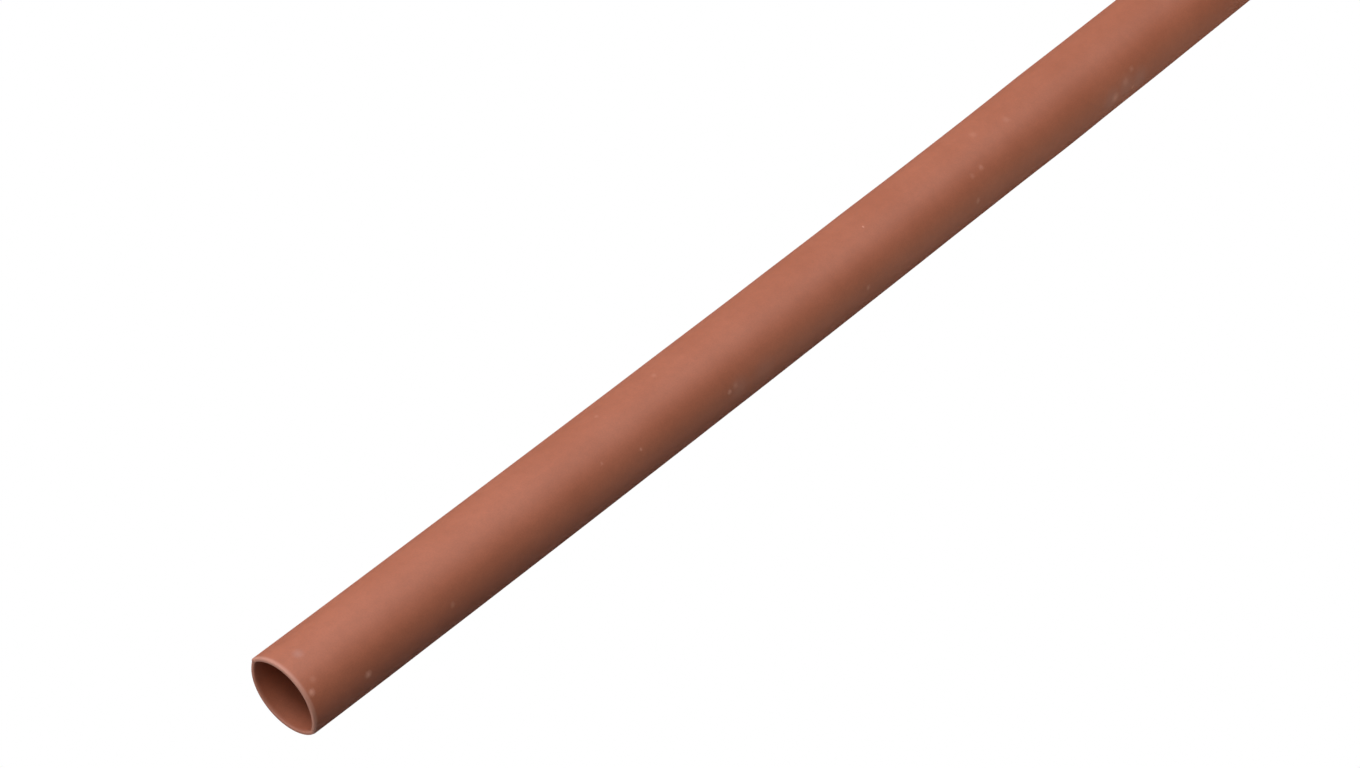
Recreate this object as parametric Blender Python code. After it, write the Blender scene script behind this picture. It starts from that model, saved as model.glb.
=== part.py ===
"""Heat shrink tube: one cut length of thin-walled shrink tubing, before it is shrunk.

The tube was flattened for storage and has sprung half open again, so that its section
is a lens: two equal arcs of wall that meet in a crease on each side.

Metres, +Z up. The tube lies along X on the middle of its lower wall, at Z = 0, with its
creases on the -Y and +Y sides. Its two cut ends face -X and +X.
"""

import math

import bmesh
import bpy
from mathutils import Vector

MM = 0.001

# The stock, as it is sold: a quarter inch tube in a six inch length.
LENGTH = 152.4 * MM
ROUND_BORE = 6.6 * MM
WALL = 0.38 * MM

# Half of the angle that each arc of wall turns through: 90 degrees would be a round tube.
ARC_HALF_ANGLE = math.radians(76.0)
OUTER_CREASE_RADIUS = 0.45 * MM
INNER_CREASE_RADIUS = 0.15 * MM

# How far the tube's middle stands off the line between its ends, from its time on a spool.
SPOOL_SET = 0.44 * MM

# Steps round each arc and crease: 36 sides in all. An odd number of steps round the arcs
# puts one facet under the middle of the tube, and its lowest line is that facet.
ARC_STEPS = 15
CREASE_STEPS = 3
LENGTH_STEPS = 8
SMOOTH_LIMIT = math.radians(40.0)

WALL_COLOR = (0.40, 0.15, 0.10, 1.0)
WALL_ROUGHNESS = 0.55

# The wall's middle line keeps its length when the tube is flattened, which gives its radius.
MIDDLE_RADIUS = math.pi * (ROUND_BORE + WALL) / (4.0 * ARC_HALF_ANGLE)
ARC_CENTRE_DROP = MIDDLE_RADIUS * math.cos(ARC_HALF_ANGLE)
OUTER_RADIUS = MIDDLE_RADIUS + WALL / 2.0
INNER_RADIUS = MIDDLE_RADIUS - WALL / 2.0


def clear_scene():
    """Removes every object that the file opened with."""
    for old in list(bpy.data.objects):
        bpy.data.objects.remove(old, do_unlink=True)


def sideways_set(x):
    """The tube's sideways shift at x: a shallow bow, centred on Y = 0 between its extremes."""
    share = 2.0 * x / LENGTH
    return SPOOL_SET * (share * share - 0.5)


def arc(centre_y, centre_z, radius, start, turn, steps):
    """Points on an arc, as (y, z), without its last one. Angles run clockwise from straight up."""
    points = []
    for step in range(steps):
        angle = start + turn * step / steps
        points.append((centre_y + radius * math.sin(angle), centre_z + radius * math.cos(angle)))
    return points


def lens_outline(radius, crease_radius):
    """One closed outline of the section about its centre: two arcs, joined by two rounded creases."""
    reach = radius - crease_radius
    half_turn = math.acos(ARC_CENTRE_DROP / reach)
    crease_y = reach * math.sin(half_turn)
    crease_turn = math.pi - 2.0 * half_turn
    upper = arc(0.0, -ARC_CENTRE_DROP, radius, -half_turn, 2.0 * half_turn, ARC_STEPS)
    right = arc(crease_y, 0.0, crease_radius, half_turn, crease_turn, CREASE_STEPS)
    lower = arc(0.0, ARC_CENTRE_DROP, radius, math.pi - half_turn, 2.0 * half_turn, ARC_STEPS)
    left = arc(-crease_y, 0.0, crease_radius, math.pi + half_turn, crease_turn, CREASE_STEPS)
    return upper + right + lower + left


def closed_loop(mesh, outline, x, lift):
    """Adds an outline at x as a closed loop of edges, with its centre at Z = lift, and returns them."""
    shift = sideways_set(x)
    corners = [mesh.verts.new((x, y + shift, z + lift)) for y, z in outline]
    return [mesh.edges.new(pair) for pair in zip(corners, corners[1:] + corners[:1])]


def tube_mesh():
    """Both outlines at one cut end, swept along the bow to the other, with the two ends closed."""
    outer = lens_outline(OUTER_RADIUS, OUTER_CREASE_RADIUS)
    inner = lens_outline(INNER_RADIUS, INNER_CREASE_RADIUS)
    lift = -min(z for _, z in outer)
    mesh = bmesh.new()
    start = -LENGTH / 2.0
    rims = closed_loop(mesh, outer, start, lift) + closed_loop(mesh, inner, start, lift)
    bmesh.ops.bridge_loops(mesh, edges=rims)
    for step in range(LENGTH_STEPS):
        x = start + LENGTH * step / LENGTH_STEPS
        next_x = start + LENGTH * (step + 1) / LENGTH_STEPS
        grown = bmesh.ops.extrude_edge_only(mesh, edges=rims)["geom"]
        rims = [item for item in grown if isinstance(item, bmesh.types.BMEdge)]
        rims = [edge for edge in rims if len(edge.link_faces) == 1]
        corners = {corner for edge in rims for corner in edge.verts}
        move = Vector((next_x - x, sideways_set(next_x) - sideways_set(x), 0.0))
        bmesh.ops.translate(mesh, verts=list(corners), vec=move)
    bmesh.ops.bridge_loops(mesh, edges=rims)
    bmesh.ops.recalc_face_normals(mesh, faces=mesh.faces)
    data = bpy.data.meshes.new("tube")
    mesh.to_mesh(data)
    mesh.free()
    return data


def wall_material():
    """Matt red-brown crosslinked polyolefin."""
    material = bpy.data.materials.new("brown polyolefin")
    material.use_nodes = True
    shader = material.node_tree.nodes["Principled BSDF"]
    shader.inputs["Base Color"].default_value = WALL_COLOR
    shader.inputs["Roughness"].default_value = WALL_ROUGHNESS
    shader.inputs["Metallic"].default_value = 0.0
    return material


def make_tube():
    """The whole part, which is one piece of stock."""
    data = tube_mesh()
    data.materials.append(wall_material())
    data.shade_smooth()
    data.set_sharp_from_angle(angle=SMOOTH_LIMIT)
    tube = bpy.data.objects.new("tube", data)
    bpy.context.scene.collection.objects.link(tube)
    return tube


clear_scene()
make_tube()
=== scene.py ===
"""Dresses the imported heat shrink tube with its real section, cut ends, matt skin and dust."""

import logging
import math
from dataclasses import dataclass
from enum import Enum

import bmesh
import bpy
from mathutils import Matrix, Vector, noise


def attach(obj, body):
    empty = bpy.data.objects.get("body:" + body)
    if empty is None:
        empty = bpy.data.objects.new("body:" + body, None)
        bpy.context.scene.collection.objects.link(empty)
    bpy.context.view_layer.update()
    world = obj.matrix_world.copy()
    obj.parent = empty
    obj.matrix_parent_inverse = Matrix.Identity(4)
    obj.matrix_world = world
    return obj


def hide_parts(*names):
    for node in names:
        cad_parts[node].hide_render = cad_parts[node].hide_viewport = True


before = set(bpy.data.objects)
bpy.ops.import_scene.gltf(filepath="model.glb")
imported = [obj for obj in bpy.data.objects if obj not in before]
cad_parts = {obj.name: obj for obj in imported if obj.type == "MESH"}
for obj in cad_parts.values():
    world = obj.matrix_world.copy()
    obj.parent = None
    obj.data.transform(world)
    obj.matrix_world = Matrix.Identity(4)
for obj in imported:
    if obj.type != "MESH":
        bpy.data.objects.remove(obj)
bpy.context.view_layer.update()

MM = 0.001

# Smooth noise stays between these two values nearly everywhere.
NOISE_BAND = (0.3, 0.7)

# Where a Mix node keeps its two colours among its inputs, and its mixed colour among its outputs.
MIX_COLOURS = (6, 7)
MIX_RESULT = 2

Colour = tuple[float, float, float, float]
Range = tuple[float, float]

log = logging.getLogger("heat_shrink_tube")


class End(Enum):
    """The two cut ends of the tube, by the side that they face along X."""

    NEAR = -1.0
    FAR = 1.0


class Skin(Enum):
    """The two skins of the wall."""

    OUTER = 1.0
    INNER = -1.0


def smoothstep(value: float) -> float:
    """Eases from 0 to 1 as value goes from 0 to 1.

    Args:
        value: Where on the way it is; anything under 0 or over 1 is held there.

    Returns:
        The eased share.
    """
    held = min(1.0, max(0.0, value))
    return held * held * (3.0 - 2.0 * held)


@dataclass(frozen=True)
class Section:
    """The tube's lens-shaped section: two arcs of wall that meet in a crease on each side."""

    round_bore: float = 6.6 * MM
    wall: float = 0.38 * MM
    half_angle: float = math.radians(76.0)
    pressed_half_angle: float = math.radians(73.3)
    pressed_from: float = 21.6 * MM
    pressed_to: float = 33.6 * MM
    outer_crease: float = 0.13 * MM
    inner_crease: float = 0.04 * MM

    def half_angle_at(self, x: float) -> float:
        """Half of the angle that each arc turns through; the far part was pressed a little flatter.

        Args:
            x: Station along the tube.

        Returns:
            The angle in radians.
        """
        share = smoothstep((x - self.pressed_from) / (self.pressed_to - self.pressed_from))
        return self.half_angle + (self.pressed_half_angle - self.half_angle) * share

    def middle_radius(self, x: float) -> float:
        """Radius of the wall's middle line, whose length stays that of the round tube."""
        return math.pi * (self.round_bore + self.wall) / (4.0 * self.half_angle_at(x))

    def radius(self, x: float, skin: Skin) -> float:
        """Radius of one skin's two arcs at a station."""
        return self.middle_radius(x) + skin.value * self.wall / 2.0

    def drop(self, x: float) -> float:
        """How far an arc's centre lies from the level of the creases, on the side away from the arc."""
        return self.middle_radius(x) * math.cos(self.half_angle_at(x))

    def lift(self, x: float, roll: float) -> float:
        """Height of the section's centre over the floor, once it is rolled by an angle."""
        return self.radius(x, Skin.OUTER) - self.drop(x) * math.cos(roll)

    def quarter(self, x: float, share: float, skin: Skin) -> tuple[float, float]:
        """Where a quarter of the section runs, from the crease's tip to the middle of the arc.

        Args:
            x: Station along the tube.
            share: How far along the quarter, from 0 at the crease to 1 at the arc's middle.
            skin: Which skin of the wall.

        Returns:
            The distance to the side of the middle, and the height over the level of the creases.
        """
        # The crease is a small arc that runs smoothly into the large one; reach is between their centres.
        drop = self.drop(x)
        radius = self.radius(x, skin)
        crease = self.outer_crease if skin is Skin.OUTER else self.inner_crease
        reach = radius - crease
        arc_turn = math.acos(drop / reach)
        crease_turn = math.pi / 2.0 - arc_turn
        run = share * (crease * crease_turn + radius * arc_turn)
        if run < crease * crease_turn:
            turn = run / crease
            return reach * math.sin(arc_turn) + crease * math.cos(turn), crease * math.sin(turn)
        turn = arc_turn - (run - crease * crease_turn) / radius
        return radius * math.sin(turn), radius * math.cos(turn) - drop


@dataclass(frozen=True)
class Speck:
    """One spot of dust on the outside: its station, lean from the top towards +Y, radius and strength."""

    x: float
    lean: float
    radius: float
    strength: float


def speck_at(station: float, lean: float, radius: float, strength: float) -> Speck:
    """Makes a spot of dust from a station and a radius in millimetres and a lean in degrees."""
    return Speck(station * MM, math.radians(lean), radius * MM, strength)


PlacedSpeck = tuple[Vector, Speck]


class NodeBench:
    """Adds nodes to a material and links them."""

    def __init__(self, name: str) -> None:
        """Makes the material.

        Args:
            name: The material's name.
        """
        self.material = bpy.data.materials.new(name)
        self.material.use_nodes = True
        self.tree = self.material.node_tree
        self.shader = self.tree.nodes["Principled BSDF"]

    def add(self, kind: str, **settings: object) -> bpy.types.Node:
        """Adds a node.

        Args:
            kind: The node's Blender type.
            **settings: Properties to set on it.

        Returns:
            The node.
        """
        node = self.tree.nodes.new(kind)
        for key, value in settings.items():
            setattr(node, key, value)
        return node

    def feed(self, target: bpy.types.NodeSocket, source: object) -> None:
        """Links a socket to a target, or sets the target where the source is a plain value.

        Args:
            target: The input socket.
            source: An output socket, a number or a colour.
        """
        if isinstance(source, bpy.types.NodeSocket):
            self.tree.links.new(source, target)
        else:
            target.default_value = source

    def math(self, operation: str, first: object, second: object = 0.0) -> bpy.types.NodeSocket:
        """One step of arithmetic.

        Args:
            operation: Blender's name for it.
            first: A socket or number.
            second: A socket or number.

        Returns:
            The result's socket.
        """
        node = self.add("ShaderNodeMath", operation=operation)
        self.feed(node.inputs[0], first)
        self.feed(node.inputs[1], second)
        return node.outputs[0]

    def vector(self, operation: str, first: object, second: object) -> bpy.types.NodeSocket:
        """One step of vector arithmetic.

        Args:
            operation: Blender's name for it.
            first: A socket or vector.
            second: A socket or vector.

        Returns:
            The result's socket.
        """
        node = self.add("ShaderNodeVectorMath", operation=operation)
        self.feed(node.inputs[0], first)
        self.feed(node.inputs[1], second)
        return node.outputs[0]

    def span(self, value: bpy.types.NodeSocket, start: Range, end: Range) -> bpy.types.NodeSocket:
        """Eases a range of values onto another one, held at both ends.

        Args:
            value: The socket to map.
            start: A value and what it becomes.
            end: A higher value and what it becomes.

        Returns:
            The result's socket.
        """
        node = self.add("ShaderNodeMapRange", interpolation_type="SMOOTHSTEP")
        self.feed(node.inputs["Value"], value)
        node.inputs["From Min"].default_value = start[0]
        node.inputs["From Max"].default_value = end[0]
        node.inputs["To Min"].default_value = start[1]
        node.inputs["To Max"].default_value = end[1]
        return node.outputs[0]

    def spread(self, noise_value: bpy.types.NodeSocket, ends: Range) -> bpy.types.NodeSocket:
        """Spreads smooth noise over a range of values.

        Args:
            noise_value: The noise's socket.
            ends: The least and the greatest value.

        Returns:
            The result's socket.
        """
        return self.span(noise_value, (NOISE_BAND[0], ends[0]), (NOISE_BAND[1], ends[1]))

    def noise(self, places: object, scale: float, detail: float = 2.0) -> bpy.types.NodeSocket:
        """Smooth noise between 0 and 1.

        Args:
            places: The socket to read places from.
            scale: Waves for each metre.
            detail: How many finer octaves it has.

        Returns:
            The noise's socket.
        """
        node = self.add("ShaderNodeTexNoise")
        self.feed(node.inputs["Vector"], places)
        node.inputs["Scale"].default_value = scale
        node.inputs["Detail"].default_value = detail
        return node.outputs[0]

    def blend(self, factor: object, first: object, second: object) -> bpy.types.NodeSocket:
        """Blends two colours.

        Args:
            factor: The share of the second colour.
            first: A socket or colour.
            second: A socket or colour.

        Returns:
            The colour's socket.
        """
        node = self.add("ShaderNodeMix", data_type="RGBA")
        self.feed(node.inputs["Factor"], factor)
        for place, colour in zip(MIX_COLOURS, (first, second)):
            self.feed(node.inputs[place], colour)
        return node.outputs[MIX_RESULT]


@dataclass(frozen=True)
class MattPolyolefin:
    """Matt red-brown crosslinked tubing: faint draw lines, fine grain, pale cut faces with a painted
    highlight, and dust.

    The draw lines' tone is a share of the skin's brightness, and the other two tones are added to it. The
    sparse crumbs lie at most one to a cell: their reach, in cells, is where a crumb's core ends and where
    its edge does, and their choice is the chance up to which a cell is empty and from which it holds one.
    """

    skin: Colour = (0.352, 0.104, 0.051, 1.0)
    worn: Colour = (0.374, 0.114, 0.058, 1.0)
    # Paler than the skin: partly stress whitening, partly a painted highlight where the cut's rim catches
    # the light.
    cut: Colour = (0.47, 0.208, 0.143, 1.0)
    dust: Colour = (0.72, 0.36, 0.26, 1.0)
    film: Colour = (0.42, 0.35, 0.35, 1.0)
    roughness: Range = (0.54, 0.64)
    refraction: float = 1.5
    mottle_scale: float = 160.0
    draw_scale: float = 900.0
    draw_stretch: float = 0.02
    draw_tone: Range = (0.985, 1.015)
    blotch_scale: float = 1300.0
    blotch_tone: Range = (-0.025, 0.025)
    grain_scale: float = 6500.0
    grain_octaves: float = 3.0
    grain_tone: Range = (-0.06, 0.06)
    grain_depth: float = 0.012 * MM
    grain_relief: float = 0.35
    cut_band: Range = (0.1, 0.95)
    crumb_scale: float = 4500.0
    crumb_unevenness: float = 0.3 * MM
    sparse_cell: float = 5.5 * MM
    sparse_reach: Range = (0.012, 0.03)
    sparse_strength: float = 0.45
    sparse_choice: Range = (0.5, 0.6)

    def material(
        self, specks: list[PlacedSpeck], smudges: list[PlacedSpeck], pale_cut_highlight_attribute: str
    ) -> bpy.types.Material:
        """Builds the material.

        Args:
            specks: Each crumb of dust with its place.
            smudges: Each thin grey film of dust with its place.
            pale_cut_highlight_attribute: The mesh attribute that says how pale the wall is painted at the
                cuts, from 0 to 1.

        Returns:
            The material.
        """
        bench = NodeBench("matt_brown_polyolefin")
        places = bench.add("ShaderNodeTexCoord").outputs["Object"]
        grain = bench.noise(places, self.grain_scale, self.grain_octaves)
        skin = self.toned_skin(bench, places, grain)
        ragged = self.ragged_places(bench, places)
        filmed = bench.blend(self.placed_mask(bench, ragged, smudges, 0.0), skin, self.film)
        crumbs = self.placed_mask(bench, ragged, specks, self.sparse_mask(bench, ragged))
        dusty = bench.blend(crumbs, filmed, self.dust)
        pale_cut_highlight = bench.add("ShaderNodeAttribute", attribute_name=pale_cut_highlight_attribute).outputs["Fac"]
        # Painted highlight: the cut faces are painted paler, partly for stress whitening and partly for the
        # light that they catch.
        paled_and_highlit = bench.span(pale_cut_highlight, (self.cut_band[0], 0.0), (self.cut_band[1], 1.0))
        bench.feed(bench.shader.inputs["Base Color"], bench.blend(paled_and_highlit, dusty, self.cut))
        bench.feed(bench.shader.inputs["Roughness"], bench.spread(grain, self.roughness))
        relief = bench.add("ShaderNodeBump")
        relief.inputs["Strength"].default_value = self.grain_relief
        relief.inputs["Distance"].default_value = self.grain_depth
        bench.feed(relief.inputs["Height"], grain)
        bench.feed(bench.shader.inputs["Normal"], relief.outputs[0])
        bench.shader.inputs["Metallic"].default_value = 0.0
        bench.shader.inputs["IOR"].default_value = self.refraction
        return bench.material

    def toned_skin(
        self, bench: NodeBench, places: bpy.types.NodeSocket, grain: bpy.types.NodeSocket
    ) -> bpy.types.NodeSocket:
        """The skin's colour, with its mottle, draw lines, blotches and grain.

        Args:
            bench: The material's nodes.
            places: The socket that gives the place.
            grain: The grain's socket.

        Returns:
            The colour's socket.
        """
        mottle = bench.noise(places, self.mottle_scale)
        drawn = bench.add("ShaderNodeMapping")
        bench.feed(drawn.inputs["Vector"], places)
        drawn.inputs["Scale"].default_value = (self.draw_stretch, 1.0, 1.0)
        lines = bench.noise(drawn.outputs[0], self.draw_scale)
        blotches = bench.noise(places, self.blotch_scale)
        uneven = bench.math(
            "ADD", bench.spread(grain, self.grain_tone), bench.spread(blotches, self.blotch_tone)
        )
        tone = bench.math("ADD", bench.spread(lines, self.draw_tone), uneven)
        colour = bench.blend(bench.spread(mottle, (0.0, 1.0)), self.skin, self.worn)
        toned = bench.add("ShaderNodeHueSaturation")
        bench.feed(toned.inputs["Value"], tone)
        bench.feed(toned.inputs["Color"], colour)
        return toned.outputs[0]

    def ragged_places(self, bench: NodeBench, places: bpy.types.NodeSocket) -> bpy.types.NodeSocket:
        """Places pushed about a little, so that the edges of the dust are uneven.

        Args:
            bench: The material's nodes.
            places: The socket that gives the place.

        Returns:
            The pushed places' socket.
        """
        uneven = bench.add("ShaderNodeTexNoise")
        bench.feed(uneven.inputs["Vector"], places)
        uneven.inputs["Scale"].default_value = self.crumb_scale
        centred = bench.vector("SUBTRACT", uneven.outputs["Color"], (0.5, 0.5, 0.5))
        push = bench.vector("MULTIPLY", centred, (self.crumb_unevenness,) * 3)
        return bench.vector("ADD", places, push)

    def sparse_mask(self, bench: NodeBench, places: bpy.types.NodeSocket) -> bpy.types.NodeSocket:
        """Sparse faint crumbs of dust all over.

        Args:
            bench: The material's nodes.
            places: The socket that gives the place.

        Returns:
            The mask's socket.
        """
        cells = bench.add("ShaderNodeTexVoronoi", feature="F1")
        bench.feed(cells.inputs["Vector"], places)
        cells.inputs["Scale"].default_value = 1.0 / self.sparse_cell
        core, edge = self.sparse_reach
        spot = bench.span(cells.outputs["Distance"], (core, self.sparse_strength), (edge, 0.0))
        chance = bench.add("ShaderNodeSeparateColor")
        bench.feed(chance.inputs["Color"], cells.outputs["Color"])
        empty, held = self.sparse_choice
        return bench.math("MULTIPLY", spot, bench.span(chance.outputs["Red"], (empty, 0.0), (held, 1.0)))

    def placed_mask(
        self, bench: NodeBench, places: bpy.types.NodeSocket, specks: list[PlacedSpeck], ground: object
    ) -> bpy.types.NodeSocket:
        """How much of the placed dust lies on each place, strongest at each one's middle.

        Args:
            bench: The material's nodes.
            places: The socket that gives the place.
            specks: Each spot of dust with its place.
            ground: The mask to lay them over, a socket or number.

        Returns:
            The mask's socket.
        """
        mask = ground
        for place, speck in specks:
            reach = bench.add("ShaderNodeVectorMath", operation="DISTANCE")
            bench.feed(reach.inputs[0], places)
            reach.inputs[1].default_value = place
            spot = bench.span(reach.outputs["Value"], (0.0, speck.strength), (speck.radius, 0.0))
            mask = bench.math("MAXIMUM", mask, spot)
        return mask


@dataclass
class ShrinkTube:
    """The whole part: one cut length of tubing, with its outer and inner skins and two cut faces.

    Crowding draws the mesh's lengthwise lines together at the creases, and end_rings are how far the
    closely set rings stand behind each cut.
    """

    section: Section
    finish: MattPolyolefin
    specks: tuple[Speck, ...] = ()
    smudges: tuple[Speck, ...] = ()
    length: float = 152.4 * MM
    spool_set: float = 0.44 * MM
    end_roll: float = math.radians(3.5)
    sides: int = 144
    crowding: float = 0.72
    ring_spacing: float = 0.62 * MM
    end_rings: tuple[float, ...] = (0.0, 0.20 * MM, 0.28 * MM, 0.38 * MM, 0.50 * MM, 0.65 * MM)
    outer_round: float = 0.16 * MM
    outer_round_steps: int = 5
    inner_round: float = 0.10 * MM
    inner_round_steps: int = 3
    cut_fade: float = 0.65 * MM
    # How pale the cuts' lower arc is painted, as a share of the upper arc's painted highlight.
    cut_lower_share: float = 0.5
    cut_wander: float = 0.05 * MM
    cut_noise_waves: float = 1.2
    cut_noise_place: float = 3.7
    cut_reach: float = 2.0 * MM
    crease_drag: float = 0.15 * MM
    crease_reach: float = 1.0 * MM
    wave: float = 0.02 * MM
    wave_length: float = 9.0 * MM
    pale_cut_highlight_attribute: str = "pale_cut_highlight"

    def build(self) -> bpy.types.Object:
        """Models the tube and dresses it.

        Returns:
            The finished piece.
        """
        mesh = bmesh.new()
        outer = self.sleeve(mesh, Skin.OUTER)
        inner = self.sleeve(mesh, Skin.INNER)
        for end in End:
            bmesh.ops.bridge_loops(mesh, edges=outer[end] + inner[end])
        outer_edges = outer[End.NEAR] + outer[End.FAR]
        inner_edges = inner[End.NEAR] + inner[End.FAR]
        self.soften(mesh, outer_edges, self.outer_round, self.outer_round_steps)
        self.soften(mesh, inner_edges, self.inner_round, self.inner_round_steps)
        self.paint_pale_cuts_highlight(mesh)
        self.press(mesh)
        bmesh.ops.recalc_face_normals(mesh, faces=mesh.faces)
        data = bpy.data.meshes.new("shrink_tube")
        mesh.to_mesh(data)
        mesh.free()
        data.shade_smooth()
        crumbs, films = self.placed(self.specks), self.placed(self.smudges)
        data.materials.append(self.finish.material(crumbs, films, self.pale_cut_highlight_attribute))
        piece = bpy.data.objects.new("shrink_tube", data)
        bpy.context.scene.collection.objects.link(piece)
        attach(piece, "root")
        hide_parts("tube")
        return piece

    def stations(self) -> list[float]:
        """Places the rings of the mesh along X, closer together at the cut ends.

        Returns:
            Each ring's station, from the near end to the far one.
        """
        half = self.length / 2.0
        plain_half = half - self.end_rings[-1]
        steps = round(2.0 * plain_half / self.ring_spacing)
        plain = [plain_half * (2.0 * step / steps - 1.0) for step in range(steps + 1)]
        near = [offset - half for offset in self.end_rings[:-1]]
        far = [half - offset for offset in reversed(self.end_rings[:-1])]
        return near + plain + far

    def sleeve(self, mesh: bmesh.types.BMesh, skin: Skin) -> dict[End, list[bmesh.types.BMEdge]]:
        """Rolls a flat strip of mesh up into one round skin: the outer one face out, the inner one face in.

        Args:
            mesh: The mesh to add it to.
            skin: Which skin.

        Returns:
            The open edges at each end.
        """
        places = self.stations()
        radius = self.section.round_bore / 2.0 + (self.section.wall if skin is Skin.OUTER else 0.0)
        columns = len(places) - 1
        made = bmesh.ops.create_grid(mesh, x_segments=columns, y_segments=self.sides, size=1.0)
        for vert in made["verts"]:
            x = places[round(columns * (vert.co.x + 1.0) / 2.0)]
            turn = math.pi * vert.co.y * skin.value
            vert.co = (x, radius * math.cos(turn), radius * math.sin(turn))
        weld_reach = self.section.wall / 100.0
        bmesh.ops.remove_doubles(mesh, verts=made["verts"], dist=weld_reach)
        open_edges = [edge for edge in mesh.edges if edge.is_boundary]
        reach = self.section.wall / 2.0
        opened = [edge for edge in open_edges if abs(edge.verts[0].co.yz.length - radius) < reach]
        return {end: [edge for edge in opened if edge.verts[0].co.x * end.value > 0.0] for end in End}

    def soften(
        self, mesh: bmesh.types.BMesh, edges: list[bmesh.types.BMEdge], offset: float, steps: int
    ) -> None:
        """Rounds a sharp edge of the cut faces.

        Args:
            mesh: The tube's mesh.
            edges: The rings of edges to round.
            offset: How much is rounded off on either side.
            steps: Steps round the edge.
        """
        bmesh.ops.bevel(
            mesh,
            geom=edges,
            offset=offset,
            offset_type="OFFSET",
            segments=steps,
            profile=0.5,
            affect="EDGES",
            material=-1,
        )

    def paint_pale_cuts_highlight(self, mesh: bmesh.types.BMesh) -> None:
        """Writes how pale each place is painted: stress whitening at the cuts plus a painted highlight that
        makes their upper arc paler than the lower one; none a little behind them.

        Args:
            mesh: The tube's mesh, still round.
        """
        layer = mesh.verts.layers.float.new(self.pale_cut_highlight_attribute)
        for vert in mesh.verts:
            behind = self.length / 2.0 - abs(vert.co.x)
            # Painted highlight: the cuts' upper arc is painted paler than the lower arc, as if lit from
            # above.
            height = smoothstep(0.5 + vert.co.z / self.section.round_bore)
            share = self.cut_lower_share + (1.0 - self.cut_lower_share) * height
            vert[layer] = share * smoothstep(1.0 - behind / self.cut_fade)

    def sideways_set(self, x: float) -> float:
        """The tube's shallow sideways bow, from its time on a spool, half of it to each side."""
        share = 2.0 * x / self.length
        return self.spool_set * (share * share - 0.5)

    def roll(self, x: float) -> float:
        """How far the section is rolled at a station, +Y side down: the tube is slightly twisted."""
        return -self.end_roll * 2.0 * x / self.length

    def press(self, mesh: bmesh.types.BMesh) -> None:
        """Presses the round tube to its lens section, twists and bows it, and lets its cuts wander.

        Args:
            mesh: The tube's mesh, still round.
        """
        outside = self.section.round_bore / 2.0 + self.section.wall
        for vert in mesh.verts:
            x, y, z = vert.co
            depth = (outside - math.hypot(y, z)) / self.section.wall
            vert.co = self.pressed(x, math.atan2(z, y), depth)

    def pressed(self, x: float, turn: float, depth: float) -> Vector:
        """Where a point of the round tube lies once it is pressed.

        Args:
            x: Station along the tube.
            turn: Angle round the section from the +Y crease, through the top at a quarter turn.
            depth: Depth in the wall, from 0 at the outer skin to 1 at the inner one.

        Returns:
            The point in the part's frame.
        """
        crowded = turn - self.crowding * math.sin(2.0 * turn) / 2.0
        share = math.acos(min(1.0, abs(math.cos(crowded)))) / (math.pi / 2.0)
        outer = Vector(self.section.quarter(x, share, Skin.OUTER))
        inner = Vector(self.section.quarter(x, share, Skin.INNER))
        aside, up = outer.lerp(inner, depth) * self.waviness(x, turn)
        roll = self.roll(x)
        flat = Vector((math.copysign(aside, math.cos(turn)), math.copysign(up, math.sin(turn))))
        y, z = Matrix.Rotation(-roll, 2) @ flat
        along = x + self.cut_shift(x, turn)
        return Vector((along, y + self.sideways_set(x), z + self.section.lift(x, roll)))

    def waviness(self, x: float, turn: float) -> float:
        """How much the section swells at a place: slow, slight unevenness, none where the tube lies.

        Args:
            x: Station along the tube.
            turn: Angle round the section.

        Returns:
            The section's scale, about 1.
        """
        lying = smoothstep(-math.sin(turn) * 2.0)
        place = Vector((x / self.wave_length, math.cos(turn), math.sin(turn)))
        swell = 2.0 * self.wave / self.section.round_bore
        return 1.0 + swell * noise.noise(place) * (1.0 - lying)

    def cut_shift(self, x: float, turn: float) -> float:
        """How far the hand cut wanders off square at a place round the tube.

        Args:
            x: Station along the tube.
            turn: Angle round the section.

        Returns:
            The shift along X, which fades out behind the cut.
        """
        behind = self.length / 2.0 - abs(x)
        around = (self.cut_noise_waves * math.cos(turn), self.cut_noise_waves * math.sin(turn))
        place = Vector((*around, math.copysign(self.cut_noise_place, x)))
        inward = 0.5 + 0.5 * noise.noise(place)
        from_crease = abs(math.sin(turn)) * self.section.round_bore / 2.0
        drag = self.crease_drag * math.exp(-((from_crease / self.crease_reach) ** 2))
        shift = -math.copysign(self.cut_wander * inward, x) - math.copysign(drag, math.cos(turn))
        return shift * smoothstep(1.0 - behind / self.cut_reach)

    def placed(self, specks: tuple[Speck, ...]) -> list[PlacedSpeck]:
        """Finds each spot of dust's place on the outer skin.

        Args:
            specks: The spots of dust.

        Returns:
            Each one with its place.
        """
        placed = []
        for speck in specks:
            radius = self.section.radius(speck.x, Skin.OUTER)
            drop = self.section.drop(speck.x)
            roll = self.roll(speck.x)
            y = radius * math.sin(speck.lean) - drop * math.sin(roll) + self.sideways_set(speck.x)
            z = radius * math.cos(speck.lean) - drop * math.cos(roll) + self.section.lift(speck.x, roll)
            placed.append((Vector((speck.x, y, z)), speck))
        return placed


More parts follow.
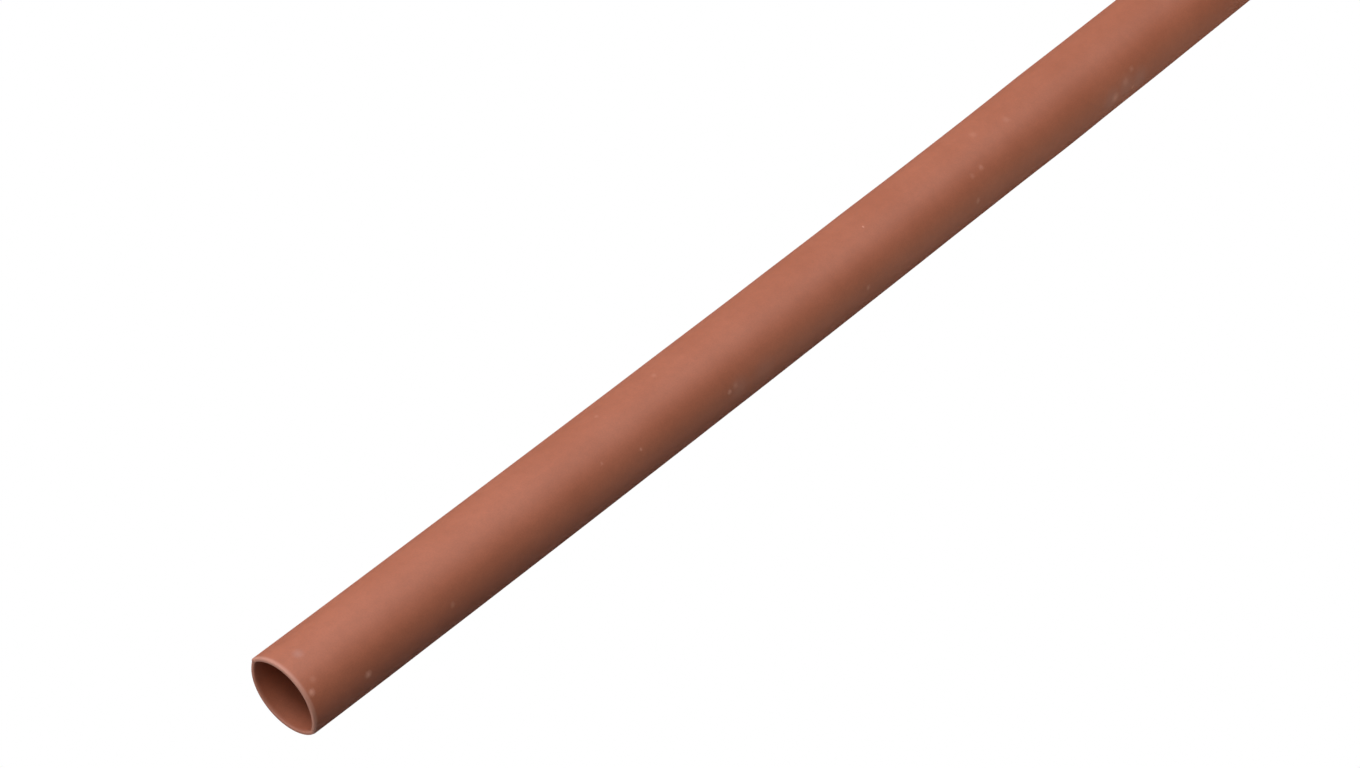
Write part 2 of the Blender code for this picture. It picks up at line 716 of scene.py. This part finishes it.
@dataclass(frozen=True)
class PhotoCamera:
    """The camera at the photograph's viewing angle."""

    lens: float = 125.89
    sensor: float = 36.0
    elevation: float = math.radians(54.515)
    heading: float = math.radians(-4.173)
    roll: float = math.radians(57.343)
    aim: tuple[float, float, float] = (-22.753 * MM, 0.557 * MM, 3.323 * MM)
    distance: float = 440.36 * MM
    nearest_seen: float = 0.01
    farthest_seen: float = 20.0

    def place(self) -> bpy.types.Object:
        """Makes the scene's camera.

        Returns:
            The camera.
        """
        flat = math.cos(self.elevation)
        aside = flat * math.sin(self.heading)
        forward = Vector((flat * math.cos(self.heading), aside, -math.sin(self.elevation)))
        level_right = forward.cross(Vector((0.0, 0.0, 1.0))).normalized()
        level_up = level_right.cross(forward)
        right = level_right * math.cos(self.roll) + level_up * math.sin(self.roll)
        up = right.cross(forward)
        turned = Matrix((right, up, -forward)).transposed().to_4x4()
        data = bpy.data.cameras.new("photo_camera")
        data.lens = self.lens
        data.sensor_width = self.sensor
        data.sensor_fit = "HORIZONTAL"
        data.clip_start = self.nearest_seen
        data.clip_end = self.farthest_seen
        camera = bpy.data.objects.new("photo_camera", data)
        camera.matrix_world = Matrix.Translation(Vector(self.aim) - forward * self.distance) @ turned
        bpy.context.scene.collection.objects.link(camera)
        bpy.context.scene.camera = camera
        return camera


@dataclass(frozen=True)
class SoftLight:
    """One square soft box, aimed at a station of the tube.

    Heading is the side that it stands on, from +X towards +Y, and lean is its angle from straight up.
    """

    name: str
    lean: float
    heading: float
    power: float
    station: float
    width: float = 0.15
    distance: float = 0.3
    tint: tuple[float, float, float] = (1.0, 1.0, 1.0)

    def place(self) -> bpy.types.Object:
        """Makes the light.

        Returns:
            The light.
        """
        flat = math.sin(self.lean)
        out = Vector((flat * math.cos(self.heading), flat * math.sin(self.heading), math.cos(self.lean)))
        data = bpy.data.lights.new(self.name, "AREA")
        data.shape = "SQUARE"
        data.size = self.width
        data.energy = self.power
        data.color = self.tint
        light = bpy.data.objects.new(self.name, data)
        light.location = Vector((self.station, 0.0, 0.0)) + out * self.distance
        light.rotation_euler = out.to_track_quat("Z", "Y").to_euler()
        bpy.context.scene.collection.objects.link(light)
        return light


@dataclass(frozen=True)
class Studio:
    """The plain pale floor, the soft boxes and the faint light all round."""

    lights: tuple[SoftLight, ...]
    floor_size: float = 6.0
    floor_cells: int = 4
    floor_tone: float = 0.9
    floor_roughness: float = 0.9
    ambient: float = 0.02

    def build(self) -> None:
        """Sets up the floor, the lights and the surroundings."""
        self.lay_floor()
        self.surround()
        for light in self.lights:
            light.place()
        bpy.context.scene.view_settings.view_transform = "Standard"

    def lay_floor(self) -> None:
        """Lays the floor: the camera sees it plain white, and it throws light back up at the tube."""
        mesh = bmesh.new()
        cells = self.floor_cells
        bmesh.ops.create_grid(mesh, x_segments=cells, y_segments=cells, size=self.floor_size / 2.0)
        data = bpy.data.meshes.new("floor")
        mesh.to_mesh(data)
        mesh.free()
        bench = NodeBench("white_floor")
        tone = self.floor_tone
        bench.shader.inputs["Base Color"].default_value = (tone, tone, tone, 1.0)
        bench.shader.inputs["Roughness"].default_value = self.floor_roughness
        seen = bench.add("ShaderNodeEmission")
        mix = bench.add("ShaderNodeMixShader")
        bench.feed(mix.inputs[0], bench.add("ShaderNodeLightPath").outputs["Is Camera Ray"])
        bench.feed(mix.inputs[1], bench.shader.outputs[0])
        bench.feed(mix.inputs[2], seen.outputs[0])
        bench.feed(bench.tree.nodes["Material Output"].inputs["Surface"], mix.outputs[0])
        data.materials.append(bench.material)
        floor = bpy.data.objects.new("floor", data)
        floor.visible_glossy = False
        bpy.context.scene.collection.objects.link(floor)

    def surround(self) -> None:
        """Gives a white surrounding to look at and a faint even light."""
        world = bpy.data.worlds.new("white_room")
        world.use_nodes = True
        bpy.context.scene.world = world
        tree = world.node_tree
        plain = tree.nodes["Background"]
        plain.inputs["Strength"].default_value = self.ambient
        seen = tree.nodes.new("ShaderNodeBackground")
        seen.inputs["Strength"].default_value = 1.0
        for background in (plain, seen):
            background.inputs["Color"].default_value = (1.0, 1.0, 1.0, 1.0)
        path = tree.nodes.new("ShaderNodeLightPath")
        mix = tree.nodes.new("ShaderNodeMixShader")
        tree.links.new(path.outputs["Is Camera Ray"], mix.inputs[0])
        tree.links.new(plain.outputs[0], mix.inputs[1])
        tree.links.new(seen.outputs[0], mix.inputs[2])
        tree.links.new(mix.outputs[0], tree.nodes["World Output"].inputs[0])


COOL_WHITE = (1.0, 1.04, 1.13)
WARM_WHITE = (1.0, 0.8, 0.6)

# Pale crumbs of dust, from the near end to the far one.
DUST = (
    speck_at(-75.4, -13.0, 0.50, 0.50),
    speck_at(-74.6, -2.0, 0.50, 0.13),
    speck_at(-69.3, -40.0, 0.54, 0.64),
    speck_at(-58.4, -34.0, 0.42, 0.26),
    speck_at(-37.3, -6.0, 0.27, 0.19),
    speck_at(-33.8, 47.0, 0.30, 0.17),
    speck_at(-32.7, -22.0, 0.27, 0.48),
    speck_at(-26.1, 43.0, 0.40, 0.13),
    speck_at(-20.5, -36.0, 0.38, 0.50),
    speck_at(-19.6, -33.0, 0.48, 0.20),
    speck_at(0.0, -41.0, 0.41, 0.29),
    speck_at(17.2, -41.0, 0.46, 0.28),
    speck_at(17.6, -7.0, 0.43, 0.15),
    speck_at(19.1, -5.0, 0.45, 0.25),
    speck_at(21.4, 37.0, 0.64, 0.13),
    speck_at(25.6, 24.0, 0.60, 0.13),
    speck_at(39.9, -48.0, 0.75, 0.36),
    speck_at(41.7, -37.0, 0.66, 0.21),
    speck_at(42.9, -54.0, 0.35, 0.30),
    speck_at(43.0, -27.0, 0.50, 0.21),
)

# Thin grey films of dust, wider and fainter than the crumbs.
SMUDGES = (
    speck_at(-73.9, 33.0, 0.75, 0.14),
    speck_at(-19.2, -40.0, 1.70, 0.08),
    speck_at(-15.5, -43.0, 1.90, 0.06),
    speck_at(39.4, -50.0, 2.00, 0.13),
    speck_at(41.8, -46.0, 2.00, 0.12),
    speck_at(44.0, -50.0, 2.00, 0.12),
)

LIGHTS = (
    SoftLight("key", math.radians(55.0), math.radians(100.0), 2.15, -20.0 * MM, 0.4, 0.5, COOL_WHITE),
    SoftLight("front", math.radians(35.0), math.radians(150.0), 0.25, -30.0 * MM),
    SoftLight("back", math.radians(40.0), math.radians(30.0), 0.27, -20.0 * MM),
    SoftLight("low_front", math.radians(80.0), math.radians(170.0), 0.12, -30.0 * MM),
    SoftLight("low_fill", math.radians(80.0), math.radians(300.0), 0.037, 25.0 * MM, 0.1, 0.1, WARM_WHITE),
)


def main() -> None:
    """Builds the part, its studio and its camera in order."""
    logging.basicConfig(level=logging.INFO, format="%(name)s: %(message)s")
    tube = ShrinkTube(Section(), MattPolyolefin(), DUST, SMUDGES).build()
    log.info("%s has %d faces", tube.name, len(tube.data.polygons))
    Studio(LIGHTS).build()
    log.info("studio has %d lights", len(LIGHTS))
    camera = PhotoCamera().place()
    log.info("%s is in place", camera.name)


if __name__ == "__main__":
    main()
